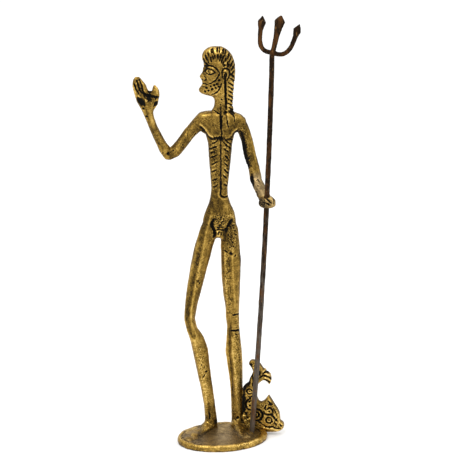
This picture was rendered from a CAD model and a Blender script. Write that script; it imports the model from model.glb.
# Cast brass sea god on an oval base, with an iron trident and a brass dolphin
import math
import bpy
import numpy as np
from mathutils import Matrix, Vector


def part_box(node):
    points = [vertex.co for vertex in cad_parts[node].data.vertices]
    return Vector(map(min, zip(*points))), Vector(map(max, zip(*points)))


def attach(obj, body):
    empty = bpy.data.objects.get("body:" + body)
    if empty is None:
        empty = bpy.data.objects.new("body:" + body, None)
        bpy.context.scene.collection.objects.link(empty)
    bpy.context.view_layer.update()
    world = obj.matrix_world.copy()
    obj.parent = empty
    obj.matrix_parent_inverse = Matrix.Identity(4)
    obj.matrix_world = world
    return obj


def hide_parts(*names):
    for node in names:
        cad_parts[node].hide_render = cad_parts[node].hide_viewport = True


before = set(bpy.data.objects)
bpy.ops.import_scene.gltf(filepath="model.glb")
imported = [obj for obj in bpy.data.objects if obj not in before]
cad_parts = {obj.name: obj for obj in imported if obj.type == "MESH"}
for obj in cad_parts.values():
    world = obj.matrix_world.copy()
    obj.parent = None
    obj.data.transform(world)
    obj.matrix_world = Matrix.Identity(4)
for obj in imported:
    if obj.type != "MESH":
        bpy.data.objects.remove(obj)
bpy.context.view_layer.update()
mm = 0.001
print("frame loaded")


# Small tools

def pickOnly(*pieces):
    active = bpy.context.view_layer.objects.active
    if active and active.mode != "OBJECT":
        bpy.ops.object.mode_set(mode="OBJECT")
    bpy.ops.object.select_all(action="DESELECT")
    for piece in pieces:
        piece.select_set(True)
        bpy.context.view_layer.objects.active = piece


def applyModifier(piece, kind, **settings):
    pickOnly(piece)
    modifier = piece.modifiers.new(kind.lower(), kind)
    for name, value in settings.items():
        setattr(modifier, name, value)
    bpy.ops.object.modifier_apply(modifier=modifier.name)


def copyOfNode(node, name):
    pickOnly(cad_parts[node])
    bpy.ops.object.duplicate()
    piece = bpy.context.object
    piece.name = name
    piece.data.name = name
    piece.data.materials.clear()
    bpy.ops.object.mode_set(mode="EDIT")
    bpy.ops.mesh.select_all(action="SELECT")
    bpy.ops.mesh.remove_doubles(threshold=0.001 * mm)
    bpy.ops.object.mode_set(mode="OBJECT")
    return piece


def joinUp(name, *pieces):
    pickOnly(*pieces)
    bpy.ops.object.join()
    bpy.context.object.name = name
    bpy.context.object.data.name = name
    return bpy.context.object


def readPoints(piece):  # in millimetres
    flat = np.empty(len(piece.data.vertices) * 3, np.float32)
    piece.data.vertices.foreach_get("co", flat)
    return flat.reshape(-1, 3).astype(float) / mm


def writePoints(piece, points):
    piece.data.vertices.foreach_set("co", (points * mm).astype(np.float32).ravel())
    piece.data.update()


def readNormals(piece):
    flat = np.empty(len(piece.data.vertices) * 3, np.float32)
    piece.data.vertex_normals.foreach_get("vector", flat)
    return flat.reshape(-1, 3).astype(float)


def readEdges(piece):
    flat = np.empty(len(piece.data.edges) * 2, np.int32)
    piece.data.edges.foreach_get("vertices", flat)
    return flat.reshape(-1, 2)


def averaged(values, edges, rounds):  # each point takes on half of its neighbours' mean
    count = np.maximum(np.bincount(edges.ravel(), minlength=len(values)), 1)
    values = values.copy()
    for turn in range(rounds):
        for axis in range(values.shape[1]):
            column = values[:, axis]
            total = np.bincount(edges[:, 0], column[edges[:, 1]], len(values))
            total += np.bincount(edges[:, 1], column[edges[:, 0]], len(values))
            values[:, axis] = 0.5 * column + 0.5 * total / count
    return values


def evenOut(piece, rounds, hold=None):  # takes facets away and gives back what the form lost
    points = readPoints(piece)
    edges = readEdges(piece)
    once = averaged(points, edges, rounds)
    smooth = 2 * once - averaged(once, edges, rounds)
    if hold is not None:
        share = hold(points)[:, None]
        smooth = points * share + smooth * (1 - share)
    writePoints(piece, smooth)


def keepAttribute(piece, name, values):
    if name in piece.data.attributes:
        piece.data.attributes.remove(piece.data.attributes[name])
    layer = piece.data.attributes.new(name, "FLOAT", "POINT")
    layer.data.foreach_set("value", np.clip(values, 0, 1).astype(np.float32))


def lumps(points, size, seed):  # soft random values between about -1 and 1, at one grain size in mm
    random = np.random.default_rng(seed)
    waves, spread = 14, 3.7
    total = np.zeros(len(points))
    for wave in range(waves):
        way = random.normal(size=3)
        way *= 2 * math.pi / (size * random.uniform(0.7, 1.5) * np.linalg.norm(way))
        total += np.sin(points @ way + random.uniform(0, 2 * math.pi))
    return total / spread


def fade(values, low, high):  # 0 below low, 1 above high, soft between
    share = np.clip((values - low) / (high - low), 0, 1)
    return share * share * (3 - 2 * share)


def bell(gap, width):  # 1 at no gap, falling off softly
    return np.exp(-((gap / width) ** 2))


def rounded(line, steps=5):  # a smooth curve through the points of a line
    line = np.array(line, float)
    padded = np.vstack([2 * line[0] - line[1], line, 2 * line[-1] - line[-2]])
    curve = []
    for k in range(1, len(padded) - 2):
        before, start, end, after = padded[k - 1:k + 3]
        for t in np.linspace(0, 1, steps, endpoint=False):
            bend = (2 * before - 5 * start + 4 * end - after) * t * t
            bend = bend + (3 * start - before - 3 * end + after) * t ** 3
            curve.append(tuple(0.5 * (2 * start + (end - before) * t + bend)))
    curve.append(tuple(line[-1]))
    return curve


def ring(x, z, radius, start=0, turn=360, steps=16, flat=1.0):  # angles in degrees
    angles = np.radians(np.linspace(start, start + turn, steps))
    return [(x + radius * math.cos(a), z + radius * flat * math.sin(a)) for a in angles]


def moved(line, dx, dz=0.0):
    return [(x + dx, z + dz) for x, z in line]


def swell(piece, x, z, reach, amount, stretch):  # a fuller place, or a thinner one below zero
    points = readPoints(piece)
    gap = np.hypot((points[:, 0] - x) / stretch[0], (points[:, 2] - z) / stretch[1])
    points += readNormals(piece) * (amount * bell(gap, reach))[:, None]
    writePoints(piece, points)


def relax(piece, x, z, radius, rounds):  # takes a corner out of the outline
    points = readPoints(piece)
    share = np.exp(-(((points[:, 0] - x) ** 2 + (points[:, 2] - z) ** 2) / radius ** 2))[:, None]
    writePoints(piece, points * (1 - share) + averaged(points, readEdges(piece), rounds) * share)


def thin(piece, triangles):  # fewer faces where the surface is plain
    pickOnly(piece)
    bpy.ops.object.mode_set(mode="EDIT")
    bpy.ops.mesh.select_all(action="SELECT")
    bpy.ops.mesh.quads_convert_to_tris()
    bpy.ops.object.mode_set(mode="OBJECT")
    count = len(piece.data.polygons)
    if count > triangles:
        applyModifier(piece, "DECIMATE", ratio=triangles / count)
    pickOnly(piece)
    bpy.ops.object.shade_smooth()
    print(piece.name, "triangles", len(piece.data.polygons))


# Carving: cuts, ridges, punches and stains are laid on the surface in the upright XZ plane

class Carving:
    def __init__(self, piece, turn=0.0, origin=(0.0, 0.0), boldness=1.0):
        self.piece = piece
        self.boldness = boldness  # widens every cut
        self.side = 1  # 1 carves the front, -1 the back
        self.points = readPoints(piece)
        self.normals = readNormals(piece)
        cosine, sine = math.cos(math.radians(turn)), math.sin(math.radians(turn))
        across = (self.points[:, 0] - origin[0]) * cosine - (self.points[:, 1] - origin[1]) * sine
        self.flat = np.column_stack([across, self.points[:, 2]])
        self.facing = -(self.normals[:, 0] * sine + self.normals[:, 1] * cosine)  # 1 looks at the viewer
        self.flush = fade(np.abs(self.facing), 0.0, 0.45)  # soft forms leave the outline alone
        self.wobble = 0.16 * lumps(self.points, 1.5, 11)  # no edge is ruled
        tones = np.zeros((6, len(self.points)))
        self.rise, self.tarnish, self.shades, self.wear, self.coarse, self.pale = tones

    def near(self, line, reach):
        line = np.array(line, float)
        low, high = line.min(0) - reach, line.max(0) + reach
        inside = np.all((self.flat > low) & (self.flat < high), axis=1)
        inside &= self.facing * self.side > -0.12  # a little way round the edge too
        return np.nonzero(inside)[0]

    def measure(self, line, reach):  # the points near a line, how far off and how far along
        line = np.array(line, float)
        found = self.near(line, reach)
        place = self.flat[found]
        lengths = np.maximum(np.linalg.norm(np.diff(line, axis=0), axis=1), 1e-6)
        starts = np.cumsum(lengths) - lengths
        best = np.full(len(found), np.inf)
        along = np.zeros(len(found))
        for start, end, length, before in zip(line[:-1], line[1:], lengths, starts):
            step = (end - start) / length
            run = np.clip((place - start) @ step, 0, length)
            gap = np.linalg.norm(place - start - run[:, None] * step, axis=1)
            closer = gap < best
            best[closer] = gap[closer]
            along[closer] = (run[closer] + before) / lengths.sum()
        return found, best, along

    def around(self, x, z, reach):  # the points near a spot, and how far off
        return self.measure([(x, z), (x + 0.01, z)], reach)[:2]

    def darken(self, found, amount):
        self.tarnish[found] = np.maximum(self.tarnish[found], amount)

    def rub(self, found, amount):
        self.wear[found] = np.maximum(self.wear[found], amount)

    def cut(self, line, width=1.0, depth=0.6, taper=0.4, lip=0.08, dark=1.0):
        width *= self.boldness
        lipPlace, lipWidth = 0.22, 0.24
        found, gap, along = self.measure(line, width * 1.4 + 0.6)
        gap = np.maximum(gap + self.wobble[found], 0)
        narrow = np.sin(np.pi * np.clip(along, 0.03, 0.97)) ** taper
        half = np.maximum(width / 2 * narrow, 0.15)
        inner = np.clip(1 - gap / half, 0, 1) ** 0.7
        edge = bell(gap - half - lipPlace, lipWidth) * narrow
        self.rise[found] = np.minimum(self.rise[found], -depth * narrow * inner) + lip * edge
        self.darken(found, dark * np.clip(1.7 - gap / half, 0, 1))
        self.rub(found, 0.75 * edge)

    def ridge(self, line, reach=2.0, height=0.3, bright=0.5):  # two planes that meet in an edge
        found, gap, along = self.measure(line, reach)
        ends = fade(along, 0, 0.12) * fade(1 - along, 0, 0.12)
        self.rise[found] += height * np.clip(1 - gap / reach, 0, 1) * ends * self.flush[found]
        self.rub(found, bright * np.clip(1 - gap / 0.7, 0, 1) * ends)

    def shade(self, line, width=2.0, amount=0.3, depth=0.0):  # a soft darker or brighter band
        found, gap, along = self.measure(line, width * 1.2)
        ends = fade(along, 0, 0.1) * fade(1 - along, 0, 0.1)
        bowl = bell(gap, width * 0.5) * ends
        self.rise[found] -= depth * bowl * self.flush[found]
        stronger = np.abs(amount * bowl) > np.abs(self.shades[found])
        self.shades[found] = np.where(stronger, amount * bowl, self.shades[found])

    def roughen(self, line, width=3.0, amount=1.0):  # a coarse cast skin
        found, gap = self.measure(line, width * 1.3)[:2]
        share = amount * (1 - fade(gap + 3 * self.wobble[found], width * 0.35, width * 0.75))
        self.coarse[found] = np.maximum(self.coarse[found], share)
        self.rise[found] += 0.05 * share * lumps(self.points[found], 0.8, 13)

    def punch(self, x, z, radius=0.5, depth=0.5, dark=1.0):  # a round hole with a raised rim
        found, gap = self.around(x, z, radius * 2.2 + 0.3)
        gap = np.maximum(gap + self.wobble[found] * 0.6, 0)
        self.rise[found] -= depth * np.clip(1 - (gap / radius) ** 2, 0, 1)
        self.darken(found, dark * np.clip(1.6 - gap / radius, 0, 1))
        rim = bell(gap - radius - 0.2, 0.22)
        self.rise[found] += 0.06 * rim
        self.rub(found, 0.5 * rim)

    def boss(self, x, z, radius=1.0, height=0.5, bright=0.3):  # a low dome
        found, gap = self.around(x, z, radius * 1.3)
        dome = np.clip(1 - (gap / radius) ** 2, 0, 1) ** 0.7
        self.rise[found] += height * dome
        self.rub(found, bright * dome)

    def stain(self, x, z, radius=2.0, dark=0.9, depth=0.15, stretch=(1.0, 1.0)):  # old dirt
        found = self.near([(x, z), (x, z)], radius * 1.7 * max(stretch))
        offset = (self.flat[found] - (x, z)) / (radius * np.array(stretch))
        edge = np.linalg.norm(offset, axis=1) + 1.4 * self.wobble[found] / radius
        inner = 1 - fade(edge, 0.55, 1.25)
        self.rise[found] -= depth * inner
        self.darken(found, dark * inner)

    def pits(self, x, z, radius, count, seed, size=0.35, stretch=(1.0, 1.0)):  # casting pits
        random = np.random.default_rng(seed)
        for pit in range(count):
            angle = random.uniform(0, 2 * math.pi)
            spread = radius * math.sqrt(random.uniform(0, 1))
            pitX = x + spread * stretch[0] * math.cos(angle)
            pitZ = z + spread * stretch[1] * math.sin(angle)
            self.punch(pitX, pitZ, size * random.uniform(0.7, 1.3), 0.2, random.uniform(0.5, 1.0))

    def finish(self, grain=0.025, fuller=0.0, deepest=1.3):  # moves the points and stores the tones
        rough = lumps(self.points, 0.9, 21) + 0.8 * lumps(self.points, 2.4, 22)
        rough += 1.5 * lumps(self.points, 7.0, 23)
        push = np.clip(self.rise, -deepest, deepest) + grain * rough + fuller
        points = self.points + self.normals * push[:, None]
        writePoints(self.piece, points)
        edges = readEdges(self.piece)
        normals = readNormals(self.piece)
        hollow = np.zeros(len(points))  # above 0 in hollows, below 0 on crests
        smooth = points
        for rounds, reach, share in ((4, 0.05, 0.5), (14, 0.16, 0.5), (40, 0.4, 0.6)):
            smooth = averaged(smooth, edges, rounds)
            bend = np.sum((smooth - points) * normals, axis=1) / reach
            hollow += share * np.clip(bend, -1, 1)
        tarnish, wear = averaged(np.column_stack([self.tarnish, self.wear]), edges, 1).T
        keepAttribute(self.piece, "tarnish", tarnish + self.shades + 0.26 * np.clip(hollow, 0, 2))
        keepAttribute(self.piece, "wear", wear - self.shades + 0.36 * np.clip(-hollow, 0, 2))
        keepAttribute(self.piece, "coarse", self.coarse)
        keepAttribute(self.piece, "pale", self.pale)


# Camera, floor and light

view = {
    "target": (4.602, 8.0, 130.958),
    "distance": 1100,
    "elevation": 15,
    "pixelsPerMm": 1.667,
    "picture": 460,
    "sensor": 36,
}


def setCamera():
    lift = math.radians(view["elevation"])
    target = Vector(view["target"]) * mm
    back = Vector((0, -math.cos(lift), math.sin(lift)))
    bpy.ops.object.camera_add(location=target + back * view["distance"] * mm)
    camera = bpy.context.object
    camera.name = "camera"
    camera.rotation_euler = (math.radians(90 - view["elevation"]), 0, 0)
    camera.data.sensor_width = view["sensor"]
    camera.data.lens = view["pixelsPerMm"] * view["distance"] * view["sensor"] / view["picture"]
    camera.data.clip_start = 0.01
    bpy.context.scene.camera = camera


floorLooks = {"size": 8.0, "colour": (0.86, 0.86, 0.855, 1), "roughness": 0.8, "specular": 0.1}


def layFloor():
    bpy.ops.mesh.primitive_plane_add(size=floorLooks["size"], location=(0, 0, 0))
    floor = bpy.context.object
    floor.name = "floor"
    paint = bpy.data.materials.new("floorPaint")
    paint.use_nodes = True
    shader = paint.node_tree.nodes["Principled BSDF"]
    shader.inputs["Base Color"].default_value = floorLooks["colour"]
    shader.inputs["Roughness"].default_value = floorLooks["roughness"]
    shader.inputs["Specular IOR Level"].default_value = floorLooks["specular"]
    floor.data.materials.append(paint)


lights = [
    {"name": "keyLight", "place": (-0.45, -0.9, 1.1), "size": (0.55, 0.55), "power": 7.0},
    {"name": "fillLight", "place": (0.9, -0.35, 0.7), "size": (0.4, 0.8), "power": 2.0},
]
sky = {"greys": [(0.0, 0.28), (0.85, 1.0)], "strength": 1.55}  # a bright ceiling over a darker room


def setLights():
    middle = Vector((0, 0, 0.13))
    for lamp in lights:
        place = Vector(lamp["place"])
        bpy.ops.object.light_add(type="AREA", location=place)
        light = bpy.context.object
        light.name = lamp["name"]
        light.rotation_euler = (middle - place).to_track_quat("-Z", "Y").to_euler()
        light.data.shape = "RECTANGLE"
        light.data.size, light.data.size_y = lamp["size"]
        light.data.energy = lamp["power"]
    world = bpy.data.worlds.new("studio")
    bpy.context.scene.world = world
    world.use_nodes = True
    recipe = Recipe(world.node_tree)
    grey = recipe.ramp(recipe.height(recipe.place("Generated")), sky["greys"])
    backdrop = recipe.nodes["Background"]
    recipe.feed(grey, backdrop.inputs["Color"])
    backdrop.inputs["Strength"].default_value = sky["strength"]
    bpy.context.scene.view_settings.view_transform = "Standard"


# Materials

class Recipe:  # the nodes of one material, or of the sky
    def __init__(self, tree):
        self.nodes = tree.nodes
        self.links = tree.links

    def feed(self, value, socket):  # value is a number, a colour or another node's output
        if isinstance(value, tuple):
            socket.default_value = (*value, 1)
        elif isinstance(value, float):
            socket.default_value = value
        else:
            self.links.new(value, socket)

    def place(self, kind="Object"):
        return self.nodes.new("ShaderNodeTexCoord").outputs[kind]

    def height(self, place):
        split = self.nodes.new("ShaderNodeSeparateXYZ")
        self.feed(place, split.inputs["Vector"])
        return split.outputs["Z"]

    def attribute(self, name):
        attribute = self.nodes.new("ShaderNodeAttribute")
        attribute.attribute_name = name
        return attribute.outputs["Fac"]

    def noise(self, place, scale, detail, roughness, upright=1.0):  # upright below 1 draws it out in height
        mapping = self.nodes.new("ShaderNodeMapping")
        mapping.inputs["Scale"].default_value = (1, 1, upright)
        self.feed(place, mapping.inputs["Vector"])
        noise = self.nodes.new("ShaderNodeTexNoise")
        noise.inputs["Scale"].default_value = scale
        noise.inputs["Detail"].default_value = detail
        noise.inputs["Roughness"].default_value = roughness
        self.feed(mapping.outputs["Vector"], noise.inputs["Vector"])
        return noise.outputs["Fac"]

    def ramp(self, value, stops):  # stops are (place, colour or grey)
        ramp = self.nodes.new("ShaderNodeValToRGB")
        self.feed(value, ramp.inputs["Fac"])
        while len(ramp.color_ramp.elements) < len(stops):
            ramp.color_ramp.elements.new(0.5)
        for element, (place, colour) in zip(ramp.color_ramp.elements, stops):
            element.position = place
            element.color = (*colour, 1) if isinstance(colour, tuple) else (colour, colour, colour, 1)
        return ramp.outputs["Color"]

    def mix(self, share, first, second):
        mix = self.nodes.new("ShaderNodeMix")
        mix.data_type = "RGBA"
        for value, name in ((share, "Factor"), (first, "A"), (second, "B")):
            self.feed(value, mix.inputs[name])
        return mix.outputs["Result"]

    def multiply(self, first, second):
        step = self.nodes.new("ShaderNodeMath")
        step.operation = "MULTIPLY"
        self.feed(first, step.inputs[0])
        self.feed(second, step.inputs[1])
        return step.outputs["Value"]

    def total(self, parts, start, **weights):  # start plus each named part times its weight
        result = start
        for name, weight in weights.items():
            step = self.nodes.new("ShaderNodeMath")
            step.operation = "MULTIPLY_ADD"
            self.feed(parts[name], step.inputs[0])
            self.feed(weight, step.inputs[1])
            self.feed(result, step.inputs[2])
            result = step.outputs["Value"]
        return result

    def bump(self, height, strength, distance, normal=None):
        bump = self.nodes.new("ShaderNodeBump")
        bump.inputs["Strength"].default_value = strength
        bump.inputs["Distance"].default_value = distance
        self.feed(height, bump.inputs["Height"])
        if normal:
            self.feed(normal, bump.inputs["Normal"])
        return bump.outputs["Normal"]


def newMaterial(name, attributes, grains):  # with its shader sockets, and attributes and noises by name
    material = bpy.data.materials.new(name)
    material.use_nodes = True
    recipe = Recipe(material.node_tree)
    place = recipe.place()
    parts = {attribute: recipe.attribute(attribute) for attribute in attributes}
    parts.update({grain: recipe.noise(place, *values) for grain, values in grains.items()})
    return material, recipe, recipe.nodes["Principled BSDF"].inputs, parts


brassLooks = {
    "grains": {  # noise scale, detail and roughness
        "clouds": (95, 4.0, 0.55),
        "mottle": (420, 6.0, 0.62),
        "grit": (1500, 4.0, 0.6),
    },
    "tone": {
        "start": -0.41, "tarnish": -0.8, "wear": 0.45, "clouds": 0.4, "mottle": 0.65,
        "grit": 0.85, "speck": 1.5, "coarse": -0.8,
    },
    "tones": [  # from the dirt in the cuts to rubbed edges
        (0.06, (0.0032, 0.0025, 0.0015)),
        (0.24, (0.030, 0.018, 0.006)),
        (0.42, (0.130, 0.078, 0.016)),
        (0.62, (0.310, 0.188, 0.038)),
        (0.82, (0.560, 0.360, 0.085)),
        (0.98, (0.780, 0.540, 0.180)),
    ],
    "metal": [(0.10, 0.0), (0.34, 1.0)],
    "dullness": [(0.10, 0.75), (0.40, 0.50), (0.90, 0.34)],
    "specular": 0.08,
    "pale": (0.33, 0.25, 0.145),
    "bumps": {"mottle": (0.5, 0.16), "grit": (0.5, 0.06)},  # strength and height in mm
}


def antiqueBrass():
    looks = brassLooks
    attributes = ("tarnish", "wear", "coarse", "pale")
    material, recipe, sockets, parts = newMaterial("antiqueBrass", attributes, looks["grains"])
    parts["speck"] = recipe.multiply(parts["coarse"], parts["grit"])
    tone = recipe.total(parts, **looks["tone"])
    colour = recipe.ramp(tone, looks["tones"])
    colour = recipe.mix(recipe.multiply(parts["pale"], tone), colour, looks["pale"])
    recipe.feed(colour, sockets["Base Color"])
    recipe.feed(recipe.ramp(tone, looks["metal"]), sockets["Metallic"])
    recipe.feed(recipe.ramp(tone, looks["dullness"]), sockets["Roughness"])
    sockets["Specular IOR Level"].default_value = looks["specular"]
    layBumps(recipe, sockets, parts, looks["bumps"])
    return material


def layBumps(recipe, sockets, parts, bumps):
    normal = None
    for name, (strength, height) in bumps.items():
        normal = recipe.bump(parts[name], strength, height * mm, normal)
    recipe.feed(normal, sockets["Normal"])


ironLooks = {
    "grains": {  # noise scale, detail, roughness and stretch in height
        "streaks": (1100, 5.0, 0.55, 0.14),
        "patches": (260, 4.0, 0.55, 0.35),
        "flecks": (900, 3.0, 0.55, 0.5),
        "grit": (2600, 3.0, 0.55),
    },
    "umber": (0.016, 0.0088, 0.0042),
    "grey": (0.106, 0.088, 0.070),
    "rust": (0.092, 0.037, 0.010),
    "ochre": (0.20, 0.10, 0.031),
    "greyness": {"start": -0.06, "streaks": 1.7, "grit": 0.8, "height": -5.5, "edge": -0.5},
    "rusting": {"start": -0.05, "patches": 1.0, "height": 0.36, "edge": -0.4},
    "flecking": {"start": 0.0, "flecks": 1.0, "edge": -0.3},
    "greyFrom": [(0.50, 0.0), (1.00, 1.0)],
    "rustFrom": [(0.50, 0.0), (0.66, 0.9)],
    "ochreFrom": [(0.60, 0.0), (0.74, 0.8)],
    "metal": 0.75,
    "specular": 0.15,
    "dullness": {"start": 0.34, "streaks": 0.35},
    "bumps": {"streaks": (0.5, 0.14), "grit": (0.4, 0.05)},
}


def rustyIron():  # the edge attribute keeps hammer scale on the edges of the fork
    looks = ironLooks
    material, recipe, sockets, parts = newMaterial("rustyIron", ("edge",), looks["grains"])
    parts["height"] = recipe.height(recipe.place())
    greyness = recipe.ramp(recipe.total(parts, **looks["greyness"]), looks["greyFrom"])
    rusting = recipe.ramp(recipe.total(parts, **looks["rusting"]), looks["rustFrom"])
    flecking = recipe.ramp(recipe.total(parts, **looks["flecking"]), looks["ochreFrom"])
    colour = recipe.mix(greyness, looks["umber"], looks["grey"])
    colour = recipe.mix(rusting, colour, looks["rust"])
    colour = recipe.mix(flecking, colour, looks["ochre"])
    recipe.feed(colour, sockets["Base Color"])
    sockets["Metallic"].default_value = looks["metal"]
    sockets["Specular IOR Level"].default_value = looks["specular"]
    recipe.feed(recipe.total(parts, **looks["dullness"]), sockets["Roughness"])
    layBumps(recipe, sockets, parts, looks["bumps"])
    return material


# Figure: a smoothed copy of the casting, with all its chasing cut in again finer

figure = {
    "blank": 0.52,  # voxel size of the smoothed blank
    "rounds": 13,
    "fuller": 0.3,  # gives back what evening out took off
    "triangles": 195000,
    "swells": [  # where the casting is fuller: x, z, reach, amount and stretch
        (-9.5, 203.4, 3.4, 0.7, (1.3, 1.0)),
        (6.8, 203.6, 1.8, 0.7, (1.2, 1.0)),
        (-45.4, 218.4, 1.8, 0.6, (1.0, 1.6)),
        (-42.3, 216.6, 1.3, 0.5, (1.2, 1.0)),
        (-38.0, 215.0, 2.4, 0.65, (1.0, 1.5)),
        (-31.4, 181.6, 1.6, 0.6, (1.0, 1.0)),
        (15.6, 168.4, 1.8, -0.45, (0.8, 2.0)),
        (17.8, 159.0, 2.0, 0.9, (0.8, 2.3)),
        (27.6, 153.6, 2.2, 0.9, (1.2, 0.9)),
        (-10.6, 137.0, 6.0, 0.4, (0.7, 1.8)),
        (8.6, 134.0, 6.0, 0.35, (0.7, 1.8)),
        (-2.2, 126.6, 1.6, 0.4, (1.0, 1.0)),
        (-4.6, 126.0, 1.2, 0.8, (1.0, 1.0)),
        (0.0, 126.0, 1.2, 0.8, (1.0, 1.0)),
        (-6.6, 120.4, 2.2, -0.4, (1.0, 2.2)),
        (0.2, 122.6, 1.5, -0.35, (1.0, 1.4)),
        (-15.8, 115.0, 3.0, 0.45, (1.0, 6.0)),
        (0.3, 103.0, 2.4, 0.55, (1.0, 6.0)),
        (10.6, 110.0, 2.4, 0.45, (1.0, 7.0)),
        (-20.8, 76.0, 2.2, 0.4, (1.0, 3.0)),
        (2.4, 74.5, 2.0, 0.5, (1.0, 2.2)),
        (2.2, 58.0, 2.0, 0.45, (1.0, 5.0)),
        (-6.2, 49.0, 2.0, 0.4, (1.0, 3.5)),
    ],
    "relaxed": [  # corners taken out of the outline: x, z, radius and rounds
        (-11.2, 137.0, 5.0, 60),
        (8.6, 135.0, 4.0, 60),
        (-2.6, 126.0, 2.8, 24),
        (-42.5, 217.2, 2.0, 16),
    ],
    "zones": [  # browner above 0, brighter below 0: amount, bottom, top and half of the body
        (0.10, (122, 150), (200, 206), 0),
        (-0.14, (12, 30), (62, 90), -1),
        (-0.07, (12, 30), (62, 90), 1),
        (0.02, (206, 212), (250, 260), 0),
        (0.02, (85, 95), (122, 130), 1),
    ],
    "mounds": [  # low lumps at the feet, then the solder: centre and half sizes
        ((-10.6, 8.6, 4.8), (3.6, 4.0, 3.4)),
        ((-14.0, 3.4, 4.0), (4.0, 3.8, 2.0)),
        ((-17.2, -2.6, 3.7), (3.0, 4.4, 2.6)),
        ((-20.6, -8.4, 3.6), (2.4, 3.6, 2.2)),
        ((9.6, 13.0, 4.6), (4.4, 5.0, 3.6)),
        ((11.8, 7.4, 4.0), (4.4, 5.4, 2.2)),
        ((14.4, 2.4, 3.8), (4.0, 4.2, 1.3)),
        ((13.4, 9.4, 5.0), (2.2, 1.7, 2.4)),
        ((14.3, 8.8, 8.2), (1.8, 1.2, 1.8)),
        ((13.4, 9.3, 11.2), (1.5, 1.1, 1.8)),
        ((16.0, 8.6, 5.6), (1.8, 1.4, 2.0)),
        ((16.8, 8.9, 9.8), (1.1, 0.8, 1.2)),
    ],
}

hair = {
    "centre": (-2.6, 229.2),
    "rows": [  # distance from the centre, stroke length, first and last angle, strokes
        (11.5, 2.7, 172, 60, 11),
        (11.2, 3.4, 47, -8, 5),
        (8.3, 2.2, 172, 18, 12),
        (5.9, 1.9, 76, 24, 4),
    ],
    "narrow": 0.84,  # the rows are flattened from front to back
    "upright": 0.6,  # how far the strokes turn from the centre line to the upright
    "width": 0.95,
    "depth": 0.75,
    "lock": (0.9, 0.3, 0.45),  # the raised hair between strokes: reach, height and brightness
    "roots": (6.6, 5.0, 0.16),  # a browner ring: radius, width and amount
}


def carveHair(work):
    random = np.random.default_rng(3)
    for reach, length, first, last, count in hair["rows"]:
        pitch = (last - first) / (count - 1)
        for k in range(count):
            angle = math.radians(first + pitch * k + random.uniform(-2.5, 2.5))
            outer, way = hairStroke(angle, reach + random.uniform(-0.3, 0.3))
            width = hair["width"] * random.uniform(0.85, 1.25)
            work.cut([outer, outer - way * length * random.uniform(0.85, 1.2)], width, hair["depth"], 0.3)
            outer, way = hairStroke(angle + math.radians(pitch / 2), reach)
            work.ridge([outer, outer - way * length], *hair["lock"])
    radius, width, amount = hair["roots"]
    work.shade(ring(*hair["centre"], radius, 170, -130), width, amount)


def hairStroke(angle, reach):  # where a stroke starts and which way it is laid
    ray = np.array([math.cos(angle) * hair["narrow"], math.sin(angle)])
    way = ray * (1 - hair["upright"]) + (0, hair["upright"])
    return np.array(hair["centre"]) + ray * reach, way / np.linalg.norm(way)


plait = {
    "top": 225.4,
    "bottom": 203.0,
    "count": 10,
    "left": 3.6,
    "right": 6.9,
    "drop": 2.9,
    "tucked": 1.1,  # the two top strands start behind the ear
    "edge": [(1.6, 225.2), (1.9, 219.8), (1.9, 214.7), (2.1, 210.6), (2.5, 204.4)],
    "end": [(2.6, 200.8), (3.0, 196.6), (3.6, 193.8)],
}


def carvePlait(work):
    step = (plait["top"] - plait["bottom"]) / (plait["count"] - 1)
    half = step / 2
    right, drop = plait["right"], plait["drop"]
    for k in range(plait["count"]):
        z = plait["top"] - k * step
        left = plait["left"] + (plait["tucked"] if k < 2 else 0)
        work.cut([(left, z), (left + 1.4, z - 0.9), (right, z - drop)], 0.95, 0.7, 0.25)
        strand = [(left, z - half), (left + 1.5, z - half - 1), (right, z - half - drop)]
        work.ridge(strand, 1.0, 0.35, 0.5)
    work.cut(plait["edge"], 1.45, 1.1, taper=0.12)  # the deep line between neck and plait
    work.punch(2.1, 202.5, 0.95, 0.8)
    work.cut(plait["end"], 0.85, 0.5)


face = {"hairline": 236.2, "chin": 214.6, "crown": 239.2, "eye": -7.4}  # plain thirds, hairline to chin


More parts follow.
